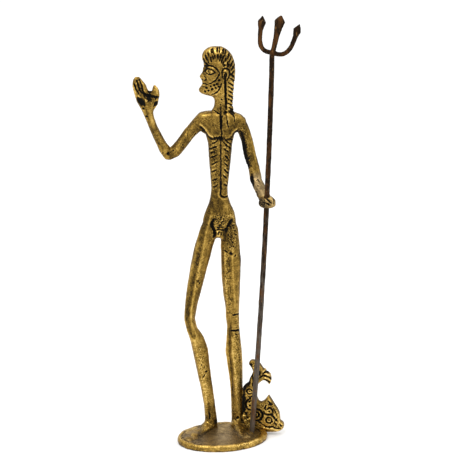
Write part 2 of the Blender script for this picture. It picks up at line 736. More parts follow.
def carveFace(work):
    third = (face["hairline"] - face["chin"]) / 3
    brow = face["hairline"] - third
    nose = face["chin"] + third
    level = (face["crown"] + face["chin"]) / 2
    mouth = nose - third / 3
    eye = face["eye"]
    corners = [(eye - 2.8, level - 0.1), (eye + 3.4, level - 0.3)]
    upper = [corners[0], (eye - 1.2, level + 1.4), (eye + 0.9, level + 1.4), corners[1]]
    lower = [corners[0], (eye - 1.0, level - 1.5), (eye + 1.2, level - 1.6), corners[1]]
    work.boss(eye, level - 0.1, 2.0, 0.3, 0.35)  # eyeball
    work.cut(rounded(upper), 0.95, 0.6, 0.2)  # lids
    work.cut(rounded(lower), 0.8, 0.5, 0.2)
    work.cut(ring(eye, level, 0.8), 0.4, 0.2, 0, 0.02, 0.8)  # iris and pupil
    work.punch(eye, level, 0.32, 0.3)
    browLine = [(-10.8, brow + 0.6), (-8.0, brow + 1.5), (-4.8, brow + 0.8), (-2.0, brow - 1.8)]
    work.ridge(rounded(moved(browLine, 0, -1.1)), 1.2, 0.35, 0.6)
    work.cut(rounded(browLine), 1.0, 0.6, 0.25)
    noseSide = [(-11.2, level), (-10.6, level - 1.6), (-9.4, nose + 2.6)]
    work.shade(rounded(noseSide), 1.6, 0.3, 0.1)
    wing = [(-10.6, nose + 2.4), (-9.6, nose + 1.5), (-9.4, nose + 0.4), (-10.2, nose - 0.3)]
    work.cut(rounded(wing), 0.7, 0.45)
    work.punch(-11.6, nose + 0.3, 0.42, 0.45)  # nostril
    work.cut([(-12.0, mouth), (-10.2, mouth + 0.15), (-8.6, mouth - 0.4)], 0.8, 0.55)  # mouth and lips
    work.ridge([(-11.9, mouth + 1.0), (-9.4, mouth + 0.8)], 0.8, 0.25, 0.6)
    work.ridge([(-11.7, mouth - 1.0), (-9.6, mouth - 0.9)], 0.8, 0.25, 0.6)
    work.shade([(-11.6, mouth - 1.9), (-9.6, mouth - 1.8)], 1.0, 0.3, 0.1)
    cheekbone = [(-7.6, level - 3.6), (-5.4, level - 3.0), (-3.4, level - 1.2)]
    work.ridge(rounded(cheekbone), 2.0, 0.25, 0.4)
    carveEar(work, brow, nose)
    carveBeard(work, mouth)


def carveEar(work, brow, nose):
    outer = [(0.6, nose + 1.2), (0.0, brow - 3.2), (0.5, brow - 0.9), (2.1, brow), (3.9, brow - 1.2),
             (4.2, brow - 3.6), (3.1, nose + 0.6), (1.9, nose - 0.8)]
    work.cut(rounded(outer), 0.9, 0.7, 0.15)
    rim = [(x * 0.72 + 0.6, (z - brow) * 0.76 + brow - 0.9) for x, z in outer[1:7]]
    work.ridge(rounded(rim), 0.8, 0.45, 0.5)
    hollow = [(1.0, brow - 2.3), (2.1, brow - 2.5), (2.5, brow - 4.2), (1.6, nose + 1.6)]
    work.cut(rounded(hollow), 0.85, 0.6)
    work.boss(2.0, nose + 0.4, 0.9, 0.3, 0.6)  # ear lobe


beard = {
    "start": (-9.9, 214.9),  # the first dot, at the chin
    "rows": 5,
    "columns": 7,
    "spacing": 2.0,
    "rowHeight": 1.8,
    "slope": 0.42,
    "radius": 0.7,
    "depth": 0.6,
    "edge": [(-8.4, -0.3), (-6.2, 0.8), (-4.0, 2.4), (-2.2, 4.8), (-1.4, 7.4)],  # heights over the mouth
    "jaw": [(-11.0, 213.6), (-6.6, 213.2), (-3.6, 214.4), (-1.4, 217.0), (-0.2, 220.2)],
    "ear": -1.0,  # no dot lies further back
}


def carveBeard(work, mouth):  # punched dots between the edge line and the jaw line
    work.shade([(-9.6, 215.4), (-5.4, 216.4), (-2.6, 219.4)], 5.0, -0.1)
    edge = moved(beard["edge"], 0, mouth)
    jaw = beard["jaw"]
    work.cut(rounded(edge), 0.95, 0.55, 0.2)
    work.cut(rounded(jaw[1:]), 0.9, 0.55, 0.25)
    firstX, firstZ = beard["start"]
    random = np.random.default_rng(12)
    for row in range(beard["rows"]):
        for k in range(beard["columns"]):
            x = firstX + (k + row % 2 / 2) * beard["spacing"] + random.uniform(-0.25, 0.25)
            z = firstZ + row * beard["rowHeight"] + (x - firstX) * beard["slope"]
            z += random.uniform(-0.2, 0.2)
            underEdge = z < np.interp(x, *zip(*edge)) - 1.0
            overJaw = z > np.interp(x, *zip(*jaw)) + 0.8
            if x < beard["ear"] and underEdge and overJaw:
                work.punch(x, z, beard["radius"] * random.uniform(0.9, 1.2), beard["depth"])


chest = {
    "edges": [  # the lower edges of the two breast muscles
        [(-14.0, 196.3), (-11.6, 194.7), (-9.6, 192.3), (-7.9, 189.6), (-6.2, 188.4), (-4.2, 188.2),
         (-1.6, 189.0)],
        [(0.3, 189.2), (2.6, 188.0), (4.7, 188.4), (6.0, 190.8), (7.4, 192.2), (9.4, 192.9),
         (11.8, 192.3), (13.4, 191.1)],
    ],
    "collars": [
        [(-12.7, 200.2), (-9.0, 200.9), (-6.2, 201.1), (-3.0, 200.8), (-1.8, 199.8)],
        [(0.4, 199.6), (1.4, 200.8)],
        [(3.8, 201.0), (5.6, 201.4), (7.4, 200.6)],
    ],
    "neckDots": [(-0.4, 210.3), (-0.8, 207.2), (-0.9, 205.0), (-0.9, 203.9), (-0.9, 202.6)],
}


def carveChest(work):
    for edge in chest["edges"]:
        work.ridge(rounded(edge), 1.3, 0.5, bright=0.65)
        work.shade(moved(rounded(edge), 0, -1.7), 1.5, 0.4, 0.3)
    work.stain(-10.8, 192.0, 1.0, 0.7)  # dirt in the armpits
    work.stain(8.4, 191.2, 0.9, 0.6)
    work.cut([(-0.8, 201.4), (-0.8, 197.5), (-0.6, 192.9)], 1.65, 1.2, taper=0.2)  # breastbone
    work.shade([(-12.4, 203.0), (-9.0, 203.6), (-6.0, 203.2)], 2.6, 0.16)  # shoulder
    work.cut([(-0.6, 194.0), (-0.3, 190.6), (-0.5, 186.8)], 0.95, 0.8, taper=0.15)
    # the pit under the breastbone, with cuts round it
    work.stain(-2.0, 187.4, 1.9, 1.0, depth=0.3, stretch=(1.3, 0.45))
    work.punch(-0.8, 187.0, 1.4, 0.9)
    work.cut([(-3.6, 188.3), (-2.6, 186.9), (-2.9, 185.6)], 0.9, 0.6)
    work.cut([(-1.4, 188.6), (-2.2, 186.6)], 0.8, 0.6)
    work.punch(-4.3, 187.4, 0.6, 0.5)
    work.cut([(3.2, 187.0), (4.8, 186.3), (6.2, 185.6)], 0.8, 0.4)
    for collar in chest["collars"]:
        work.ridge(rounded(collar), 1.4, 0.35, bright=0.25)
    work.cut([(-4.6, 203.6), (-2.8, 202.2), (-1.1, 201.4)], 0.8, 0.5)  # base of the neck
    work.cut([(3.8, 203.6), (5.4, 202.6), (7.2, 201.2)], 1.0, 0.6)
    work.cut([(6.9, 201.0), (7.3, 198.8), (7.0, 196.5)], 0.5, 0.25, dark=0.7)
    for x, z in chest["neckDots"]:
        work.punch(x, z, 0.5, 0.35)
    work.shade([(1.2, 208.0), (1.2, 199.0)], 1.6, 0.22)  # beside the plait
    work.roughen([(-0.4, 213.0), (-0.6, 203.6)], 3.4, 0.5)  # side of the neck
    work.shade([(-9.0, 197.6), (-5.0, 197.0)], 4.5, 0.12)  # breast
    work.roughen([(-9.0, 197.0), (-3.0, 195.0)], 4.0, 0.35)


belly = {
    "leftRibs": [
        [(-6.0, 183.6), (-3.0, 185.4)],
        [(-7.2, 180.3), (-5.0, 181.6), (-3.1, 182.2)],
        [(-6.9, 178.0), (-5.2, 178.8)],
        [(-6.7, 175.0), (-3.3, 176.9)],
        [(-6.3, 170.7), (-3.3, 172.9)],
        [(-6.1, 166.4), (-3.3, 167.9)],
        [(-5.8, 161.1), (-3.0, 162.5)],
        [(-5.5, 156.8), (-2.6, 158.6)],
    ],
    "rightRibs": [
        [(-0.1, 185.6), (2.4, 183.2), (5.2, 180.1)],
        [(1.6, 186.2), (4.8, 183.4)],
        [(0.8, 180.9), (3.4, 178.8)],
        [(0.9, 176.8), (2.4, 175.8), (3.6, 173.6)],
        [(1.3, 172.0), (3.3, 169.8)],
        [(1.1, 168.3), (3.3, 165.4)],
        [(0.5, 164.6), (2.4, 162.5)],
        [(0.8, 159.3), (2.4, 157.7)],
    ],
    "dashes": [  # top, bottom and width of the strokes down the middle
        (185.6, 182.2, 0.66),
        (181.1, 176.4, 0.66),
        (175.7, 174.0, 0.66),
        (172.9, 169.0, 0.66),
        (168.2, 165.0, 0.66),
        (164.2, 162.0, 0.66),
        (160.6, 155.4, 1.15),
    ],
    "hook": [(-1.1, 155.4), (-1.0, 152.6), (0.4, 151.2), (3.4, 151.2)],  # where the middle line turns off
    "rough": [  # places with a coarse skin: start, end, width and amount
        ((-5.2, 184.4), (-5.0, 180.0), 3.6, 0.9),
        ((3.4, 185.0), (3.0, 180.0), 3.4, 0.8),
        ((-4.6, 176.0), (-4.2, 158.0), 3.4, 0.65),
        ((2.6, 178.0), (2.0, 158.0), 3.2, 0.6),
        ((4.6, 149.0), (6.0, 140.0), 3.0, 0.8),
    ],
}


def carveBelly(work):
    work.shade([(-0.9, 186.0), (-0.9, 156.0)], 2.0, 0.25, 0.15)
    for way in (-1, 1):
        work.shade([(-1.6 + way * 6.6, 186.0), (-1.6 + way * 4.6, 156.0)], 2.2, 0.2)
        work.ridge([(-1.2 + way * 1.7, 185.0), (-1.2 + way * 1.5, 158.0)], 1.0, 0.2, bright=0.35)
    for line in belly["leftRibs"] + belly["rightRibs"]:
        work.cut(line, 0.88, 0.55)
        work.ridge(moved(line, 0, 1.35), 1.1, 0.25, bright=0.3)
        work.ridge(moved(line, 0, -1.35), 1.0, 0.2, bright=0.12)
    for top, bottom, width in belly["dashes"]:
        work.cut([(-0.85, top), (-0.95, bottom)], width, 0.5, taper=0.25)
    work.cut(rounded(belly["hook"]), 1.1, 0.65, taper=0.25)
    work.ridge(rounded([(-2.2, 154.6), (-2.0, 151.6), (0.0, 149.9), (3.0, 149.8)]), 1.1, 0.25, bright=0.6)
    for start, end, width, amount in belly["rough"]:
        work.roughen([start, end], width, amount)
    work.shade([(-5.6, 150.0), (-6.8, 144.0)], 3.0, 0.2)


hips = {
    "bones": [
        [(-7.8, 138.6), (-5.6, 140.0), (-3.2, 139.4)],
        [(2.4, 139.2), (4.8, 139.8), (6.6, 138.6)],
    ],
    "leftFold": [(-4.9, 137.9), (-6.4, 134.6), (-5.2, 131.4), (-4.4, 128.6), (-5.4, 126.4)],
    "rightFold": [(5.7, 137.4), (4.2, 135.0), (2.5, 132.0)],
    "curls": {"count": 46, "bottom": 133.2, "top": 140.0, "point": 131.4, "slope": 0.6},
}


def carveHips(work):
    for bone in hips["bones"]:
        work.ridge(rounded(bone), 1.4, 0.35, bright=0.9)
    work.roughen([(-3.0, 138.0), (2.0, 138.0), (-0.8, 134.4)], 4.8, 1.0)  # the skin under the curls
    work.roughen([(4.8, 138.0), (6.4, 132.0), (6.2, 121.0)], 5.2, 0.9)  # the thighs
    work.roughen([(-6.0, 128.0), (-7.4, 122.0)], 3.0, 0.6)
    work.shade([(5.6, 135.0), (4.4, 126.0), (4.0, 119.6)], 4.6, 0.24)
    work.cut(rounded(hips["leftFold"]), 2.1, 1.1, taper=0.25)  # between belly and thigh, with dirt in it
    work.stain(-6.0, 134.6, 1.3, 1.0)
    work.stain(-4.3, 129.2, 1.4, 1.0, stretch=(0.8, 1.3))
    work.cut(rounded(hips["rightFold"]), 1.9, 1.1, taper=0.25)
    work.stain(2.4, 131.4, 1.4, 1.0, stretch=(0.8, 1.3))
    work.shade([(1.4, 132.4), (1.8, 123.0)], 3.0, 0.3, 0.3)  # inside of the thigh
    work.cut(rounded([(-4.0, 133.2), (-2.1, 132.4), (0.6, 132.6)]), 0.8, 0.4)
    work.cut(rounded([(-4.2, 130.6), (-1.8, 131.3), (0.9, 130.3)]), 1.0, 0.6)
    work.boss(-1.7, 128.8, 1.9, 0.7, bright=0.45)
    work.cut(ring(-1.5, 128.8, 0.9, -60, 260), 0.6, 0.3, 0)
    carveCurls(work)
    work.pits(6.0, 127.0, 3.2, 34, 34, 0.36, stretch=(0.8, 2.8))  # casting flaws on the thigh
    work.cut([(1.4, 118.0), (2.9, 116.7)], 1.0, 0.5)  # scratches and a pit over the knee
    work.punch(5.1, 116.3, 0.95, 0.7)
    work.cut([(8.0, 115.6), (7.2, 114.2)], 0.9, 0.5)


def carveCurls(work):  # small dots in a triangle that stands on its point
    curls = hips["curls"]
    random = np.random.default_rng(8)
    for curl in range(curls["count"]):
        z = random.uniform(curls["bottom"], curls["top"])
        half = (z - curls["point"]) * curls["slope"]
        x = -0.8 + random.uniform(-half, half)
        work.punch(x, z, random.uniform(0.28, 0.48), 0.25, random.uniform(0.5, 0.9))


legs = {
    "outerThigh": [(-6.2, 150.0), (-7.6, 143.0), (-9.4, 136.0), (-11.0, 130.2), (-13.2, 119.0),
                   (-16.1, 106.1), (-18.6, 93.0), (-20.8, 80.0), (-20.2, 71.5), (-17.4, 64.0),
                   (-14.6, 57.0)],
    "outerShin": [(-20.3, 74.0), (-16.9, 58.7), (-13.9, 42.6), (-11.9, 31.7), (-9.9, 20.8), (-9.4, 12.6)],
    "calf": [(-17.2, 71.0), (-13.6, 63.5), (-10.4, 56.0), (-8.8, 48.0), (-8.2, 38.0), (-7.8, 30.0)],
    "innerThigh": [(2.6, 121.3), (2.8, 109.7), (3.0, 96.2), (3.9, 87.2), (4.3, 78.0)],
    "thighRidge": [(6.2, 122.0), (6.2, 112.0), (6.6, 100.0), (7.4, 88.0), (7.6, 80.0)],
    "innerShin": [(4.9, 72.0), (4.7, 63.3), (4.4, 53.0), (5.4, 43.0), (6.3, 31.0), (6.7, 19.0)],
    "kneeLines": [  # line, width and depth
        ([(6.4, 76.6), (8.2, 77.0), (10.2, 76.5)], 1.1, 0.7),
        ([(5.7, 66.5), (8.0, 66.6), (10.4, 66.0)], 1.25, 0.8),
    ],
    "pits": [  # x, z, reach, count, seed, size and stretch
        (-13.4, 50.0, 2.2, 14, 35, 0.28, (1.0, 4.6)),
        (8.0, 40.0, 1.8, 14, 36, 0.25, (0.8, 10.0)),
        (3.0, 102.0, 1.4, 14, 37, 0.25, (0.7, 9.0)),
        (-13.6, 104.0, 2.2, 8, 38, 0.28, (1.0, 7.0)),
    ],
}


def carveLegs(work):
    carveBentLeg(work)
    carveStraightLeg(work)
    for place in legs["pits"]:
        work.pits(*place)


def carveBentLeg(work):
    outer = rounded(legs["outerThigh"])
    work.ridge(moved(outer, 1.6), 2.6, 0.5, bright=0.3)
    work.shade(moved(outer, -0.1), 3.2, 0.23, 0.3)
    work.ridge(moved(outer, -2.2), 1.6, 0.3, bright=0.2)
    shin = rounded(legs["outerShin"])
    work.ridge(moved(shin, 0.6), 2.4, 0.3, bright=0.35)
    found, gap, along = work.measure(rounded(legs["calf"]), 6.0)  # the calf is browner
    calf = bell(gap, 2.7) * fade(along, 0, 0.3) * fade(1 - along, 0, 0.5)
    work.shades[found] += 0.2 * calf
    work.shade(rounded([(-7.2, 38.0), (-5.6, 28.0), (-4.6, 16.0)]), 1.3, 0.3)
    work.roughen([(-15.0, 56.0), (-11.0, 34.0), (-9.0, 18.0)], 3.8, 0.45)
    work.roughen([(-12.4, 122.0), (-16.0, 104.0), (-19.0, 84.0)], 3.8, 0.2)
    work.punch(-10.1, 41.3, 0.7, 0.6)  # a pit with a scratch under it
    work.cut([(-10.3, 40.4), (-11.1, 39.2), (-12.3, 37.0)], 0.7, 0.35, dark=0.9)
    work.punch(-14.9, 99.0, 0.5, 0.3, dark=0.9)
    work.cut([(-13.7, 98.6), (-14.4, 97.0)], 0.7, 0.4)


def carveStraightLeg(work):
    inner = rounded(legs["innerThigh"])
    work.roughen(inner, 3.6, 0.65)
    work.ridge(moved(inner, -1.0), 1.4, 0.25, bright=0.4)
    work.shade(moved(inner, 2.0), 1.2, 0.1, 0.12)
    work.ridge(rounded(legs["thighRidge"]), 2.6, 0.35, bright=0.3)
    work.shade(moved(rounded(legs["thighRidge"]), 4.4), 1.4, 0.3)
    flank = rounded(legs["innerShin"])
    work.shade(flank, 1.4, 0.16, 0.18)
    work.ridge(moved(flank, -1.7), 1.2, 0.25, bright=0.4)
    work.ridge(moved(flank, 2.0), 1.8, 0.3, bright=0.2)
    work.roughen(moved(flank, 4.2), 4.2, 0.7)
    work.shade(moved(flank, 5.4), 1.1, 0.1)
    work.shade([(5.0, 72.0), (5.6, 66.0), (6.2, 62.0)], 1.2, 0.22)
    for line, width, depth in legs["kneeLines"]:
        work.cut(rounded(line), width, depth, taper=0.15)
    work.cut([(7.8, 64.4), (8.6, 63.8)], 0.8, 0.3, dark=0.8)


def carveFeet(work):
    work.cut(rounded([(-8.2, 15.0), (-7.9, 12.4), (-8.3, 10.2)]), 0.9, 0.35, dark=0.7)  # heel cord
    work.shade([(-8.4, 22.0), (-7.8, 10.0)], 2.2, 0.2, 0.15)  # ankle, then dirt behind it
    work.stain(-4.6, 8.0, 1.6, 0.5, depth=0.1, stretch=(0.7, 1.3))
    work.shade(rounded([(-2.6, 6.0), (-8.0, 4.6), (-16.0, 3.8)]), 1.6, 0.25)  # where the foot meets the plate
    work.shade([(-9.0, 9.5), (-12.6, 6.8), (-19.4, 5.0)], 2.6, -0.16)  # the rubbed top of the foot
    work.punch(9.4, 9.8, 1.0, 0.5, dark=0.7)  # flaws in the other foot
    work.cut([(7.8, 8.8), (8.8, 7.8)], 0.8, 0.4, dark=0.6)
    work.stain(12.4, 8.4, 1.2, 0.55, depth=0.05)
    work.roughen([(6.0, 14.0), (8.0, 6.0), (13.0, 4.4)], 5.0, 0.8)  # both feet and the solder
    work.roughen([(-8.0, 14.0), (-8.0, 6.0), (-18.0, 4.0)], 4.0, 0.4)
    work.roughen([(13.0, 13.0), (15.0, 8.0), (15.6, 4.6)], 4.6, 1.0)


hand = {
    "fingers": [
        [(-48.5, 222.6), (-47.2, 219.2), (-46.8, 217.2), (-46.0, 214.8)],
        [(-50.2, 222.2), (-49.1, 218.9), (-48.1, 216.2), (-46.9, 214.5)],
        [(-51.4, 220.0), (-50.3, 216.9), (-49.0, 214.2)],
    ],
    "knuckles": [  # the raised back of each finger: x, top and bottom
        (-51.6, 219.4, 213.4),
        (-49.9, 221.0, 214.8),
        (-48.1, 222.0, 216.2),
        (-46.3, 220.6, 214.8),
    ],
    "crease": [(-46.6, 214.8), (-43.8, 213.3), (-40.8, 212.8), (-37.6, 212.2)],
    "heel": [(-49.8, 213.3), (-47.5, 212.0), (-45.4, 211.5), (-44.5, 209.0)],
    "thumb": [(-39.8, 220.2), (-38.4, 217.0), (-38.2, 213.8)],
    "wrist": [(-45.2, 207.4), (-44.3, 204.6), (-43.5, 201.2), (-42.4, 196.6), (-40.9, 192.2),
              (-39.0, 188.6), (-37.0, 184.2), (-34.4, 180.6)],
    "upperArm": [(-30.2, 180.6), (-27.3, 183.6), (-22.9, 189.3), (-18.4, 195.3), (-14.0, 200.0)],
}


def carveHand(work):
    for line in hand["fingers"]:
        work.cut(rounded(line), 0.9, 0.75, taper=0.25)
    for x, top, bottom in hand["knuckles"]:
        work.ridge([(x - 0.5, top), (x + 1.1, bottom)], 0.7, 0.3, bright=0.35)
    work.shade([(-50.6, 224.0), (-46.0, 210.0)], 5.6, 0.22)  # the fingers are browner
    work.cut(rounded(hand["crease"]), 1.9, 1.1, taper=0.2)  # across the palm
    work.stain(-43.0, 211.4, 1.7, 1.0, depth=0.4, stretch=(0.8, 1.1))  # dirt in the palm
    work.stain(-42.5, 215.3, 1.2, 1.0, depth=0.2, stretch=(1.1, 0.9))
    work.cut(rounded([(-49.4, 211.8), (-47.6, 209.6), (-45.6, 207.6)]), 3.2, 0.5, taper=0.5)
    work.stain(-46.6, 208.6, 1.3, 0.9, depth=0.1)  # dirt round the wrist
    work.cut(rounded([(-38.4, 210.4), (-39.0, 208.8), (-40.2, 206.8)]), 1.7, 0.3, taper=0.5, dark=0.9)
    work.shade([(-39.0, 220.0), (-38.4, 211.0)], 3.0, 0.16)  # back of the thumb
    work.ridge(rounded(hand["heel"]), 0.8, 0.45, bright=1.0)
    work.ridge([(-46.9, 213.6), (-45.6, 210.4)], 0.7, 0.3, bright=0.9)
    work.cut([(-46.4, 213.2), (-45.0, 211.6)], 0.5, 0.3)
    work.ridge(rounded(hand["thumb"]), 1.0, 0.3, bright=0.7)
    work.roughen([(-47.0, 209.0), (-41.0, 209.6)], 4.0, 0.6)
    work.punch(-46.2, 205.6, 0.65, 0.45, dark=0.95)  # two pits on the wrist
    work.punch(-44.5, 200.7, 0.6, 0.4)


def carveRaisedArm(work):
    wrist = rounded(hand["wrist"])
    work.shade(moved(wrist, -0.4), 1.8, 0.18, 0.2)
    work.ridge(moved(wrist, 1.5, 0.4), 1.8, 0.25, bright=0.15)
    work.shade(moved(wrist, 3.8, 1.4), 1.5, 0.14)
    work.punch(-32.2, 178.1, 0.95, 0.8)  # the hole at the elbow, and two small pits
    for x, z in ((-35.1, 178.6), (-28.9, 179.6)):
        work.punch(x, z, 0.5, 0.2, dark=0.4)
    work.cut([(-24.4, 182.2), (-23.4, 183.4)], 0.5, 0.2, dark=0.6)
    bevel = rounded(hand["upperArm"])
    work.shade(bevel, 1.0, 0.1, 0.2)  # the edge where two planes of the arm meet
    work.ridge(moved(bevel, -0.9, 0.9), 1.1, 0.25, bright=0.3)
    work.ridge(moved(bevel, 1.3, -1.3), 2.0, 0.35, bright=0.15)
    work.shade(moved(bevel, 3.0, -3.4), 3.6, 0.14)
    work.shade([(-27.5, 179.6), (-22.4, 183.4)], 3.4, -0.12)
    work.shade([(-38.0, 184.0), (-33.0, 178.6)], 3.0, -0.08)
    work.cut([(-19.6, 184.8), (-18.0, 187.2), (-15.0, 191.0)], 0.5, 0.2, dark=0.5)


loweredArm = {
    "inside": [(11.3, 190.8), (12.6, 186.0), (13.4, 180.0), (14.3, 175.4), (15.2, 171.8), (16.2, 168.6)],
    "outside": [(14.8, 193.4), (16.6, 188.4), (18.2, 180.6), (19.8, 172.0), (20.8, 166.6)],
    "fingers": [
        [(25.8, 153.1), (27.4, 152.2), (29.0, 150.6)],
        [(25.4, 151.0), (27.0, 150.3), (28.4, 149.4)],
    ],
    "fistPale": 0.55,
    "fistShade": 0.05,
}


def carveLoweredArm(work):
    hollow = loweredArm["inside"]
    work.shade(rounded(hollow), 2.6, 0.6, 0.2)
    work.cut(rounded(hollow), 1.3, 0.5, taper=0.35, dark=1.0)
    work.roughen(rounded(hollow), 4.6, 1.0)
    work.pits(13.4, 182.0, 1.3, 20, 41, 0.4, stretch=(1.0, 4.0))
    work.pits(15.0, 172.0, 1.2, 16, 42, 0.4, stretch=(1.0, 3.6))
    light = rounded(loweredArm["outside"])
    work.ridge(light, 2.4, 0.4, bright=0.3)
    work.shade(moved(light, 1.6), 1.4, 0.2)
    work.shade([(12.0, 197.0), (15.4, 188.0)], 3.6, 0.15)
    work.stain(17.8, 159.8, 1.5, 1.0, depth=0.2, stretch=(0.8, 3.8))  # dirt inside the forearm
    work.cut(rounded([(20.2, 161.4), (21.2, 161.9), (21.8, 161.0)]), 0.5, 0.25, dark=0.7)  # scratches
    work.cut([(21.0, 158.8), (21.8, 158.6)], 0.7, 0.25, dark=0.8)
    work.pits(20.8, 153.6, 1.0, 14, 43, 0.38, stretch=(0.8, 2.0))
    work.stain(21.0, 153.4, 1.2, 0.4, depth=0.0, stretch=(0.8, 1.8))  # a duller fist
    work.stain(23.6, 150.6, 2.7, 0.42, depth=0.0)
    for line in loweredArm["fingers"]:
        work.cut(rounded(line), 0.9, 0.7)
    work.cut(rounded([(28.4, 154.8), (29.8, 153.4), (30.4, 151.4), (29.9, 149.4)]), 0.6, 0.35, dark=0.8)
    work.ridge(rounded([(25.6, 152.0), (27.0, 151.2), (28.5, 150.0)]), 0.6, 0.25, bright=0.6)
    work.ridge(rounded([(26.8, 154.2), (28.6, 153.0), (29.6, 151.2), (29.2, 149.0)]), 0.7, 0.3, bright=0.5)
    work.roughen([(22.0, 152.0), (24.6, 149.4)], 5.0, 0.9)
    palePaint(work)


def palePaint(work):  # the skin of the lower forearm and the fist has lost its gold
    x, y, z = work.points.T
    forearm = fade(z, 152.0, 155.0) * (1 - fade(z, 163.0, 168.0)) * fade(x, 17.6, 19.4)
    fist = (1 - fade(z, 152.0, 155.0)) * fade(z, 143.0, 146.0)
    fist *= fade(x, 19.0, 21.0) * (y < 3.0)
    work.pale = np.maximum(work.pale, np.maximum(forearm, loweredArm["fistPale"] * fist))
    work.shades += loweredArm["fistShade"] * fist


back = {
    "spine": -1.3,
    "dashes": 9,
    "ribs": 6,
    "blade": [(2.6, 198.6), (5.2, 195.0), (6.6, 190.0), (9.6, 192.6)],  # a shoulder blade, off the spine
    "knees": [(-19.6, 74.0), (6.4, 68.6)],
    "fingers": [-49.2, -47.6, -46.0],
    "legs": [(-13.0, -16.0, -13.0, -11.0), (5.0, 5.0, 7.0, 7.0)],  # hip, knee, calf and ankle
}


def carveBack(work):
    spine = back["spine"]
    work.cut([(spine, 202.0), (spine, 196.0), (spine, 188.0)], 1.3, 0.8, 0.3)
    for k in range(back["dashes"]):
        top = 186.0 - k * 4.6
        work.cut([(spine, top), (-1.35, top - 3.6)], 0.9, 0.5)
    for way in (-1, 1):
        blade = rounded([(spine + way * x, z) for x, z in back["blade"]])
        work.ridge(blade, 1.4, 0.5, 0.8)
        work.shade(moved(blade, 0, -1.6), 1.6, 0.35, 0.25)
        for k in range(back["ribs"]):
            z = 184.0 - k * 4.7
            near, far = spine + way * 2.4, spine + way * (5.0 - k * 0.28)
            work.cut([(near, z), (far, z - 2.2)], 0.9, 0.5)
            work.ridge([(near, z + 1.3), (far, z - 0.9)], 1.0, 0.25, 0.5)
        work.shade([(-2.0 + way * 2.0, 125.8), (-2.0 + way * 6.6, 125.2)], 1.8, 0.4, 0.3)
    work.cut([(-2.0, 139.0), (-2.2, 132.0), (-2.4, 125.6)], 1.5, 1.0, 0.3)  # between the buttocks
    for x, z in back["knees"]:
        work.cut([(x - 2.4, z), (x + 2.4, z + 0.4)], 0.9, 0.5)
    for x in back["fingers"]:
        work.cut([(x - 1.2, 221.0), (x + 0.4, 214.0)], 0.9, 0.5)
    for hip, knee, calf, ankle in back["legs"]:
        work.ridge([(hip, 118.0), (knee, 90.0)], 2.4, 0.35, 0.4)
        work.ridge([(calf, 60.0), (ankle, 20.0)], 2.4, 0.35, 0.4)
        work.roughen([(hip, 116.0), (calf, 60.0), (calf, 20.0)], 5.0, 0.8)
    work.roughen([(-1.4, 184.0), (-1.4, 148.0)], 7.0, 0.7)  # small of the back
    work.roughen([(-44.0, 205.0), (-36.0, 184.0)], 4.0, 0.6)  # raised forearm


plate = {
    "halfLength": 28.0,
    "halfWidth": 20.6,
    "sides": 24,
    "turn": 17,
    "field": 24.8,  # the dull field ends here, inside the golden rim
    "fieldShift": 1.3,
    "flatBelow": 0.35,
    "corners": (20, 26),  # from here outward the corners come in
    "top": (3.8, 4.8),  # heights between which the plate ends and the feet begin
    "line": {"width": 0.45, "dirt": 0.42, "depth": 0.22},  # the dark line where the field ends
    "rim": {"place": 26.6, "wear": 0.25, "unevenness": 0.12},
    "dirt": {"field": 0.06, "lowerEdge": 0.45},
    "pale": (0.5, 0.4),  # of the field, and how much more in its centre
    "brighter": 0.12,
}


def onPlate(points):  # distance from the middle, in half lengths times 28, and the angle round it
    tilt = math.radians(plate["turn"])
    x = points[:, 0] * math.cos(tilt) + points[:, 1] * math.sin(tilt)
    y = points[:, 1] * math.cos(tilt) - points[:, 0] * math.sin(tilt)
    y *= plate["halfLength"] / plate["halfWidth"]
    return np.hypot(x, y), np.arctan2(y, x)


def roundPlate(piece):  # takes the corners of the many-sided rim in to a true oval
    points = readPoints(piece)
    radius, angle = onPlate(points)
    sector = 2 * math.pi / plate["sides"]
    off = np.mod(angle, sector) - sector / 2
    share = fade(radius, *plate["corners"]) * (1 - fade(points[:, 2], *plate["top"]))
    points[:, :2] *= (1 + (np.cos(off) - 1) * share)[:, None]
    writePoints(piece, points)


feet = {"rightToes": (9.5, 14.0), "leftToes": (11.5, 15.5), "sole": 3.6, "ankle": 9.0, "drop": 0.5}


def lowerFeet(piece):  # the feet lie low on the plate, and run into it
    points = readPoints(piece)
    x, y, z = points.T
    toes = np.maximum(fade(-x, *feet["rightToes"]), fade(x - 0.5 * y, *feet["leftToes"]))
    share = toes * (z > feet["sole"]) * (z < feet["ankle"])
    points[:, 2] -= feet["drop"] * share * (z - feet["sole"])
    writePoints(piece, points)


def flatUnderside(piece):
    points = readPoints(piece)
    points[points[:, 2] < plate["flatBelow"], 2] = 0
    writePoints(piece, points)


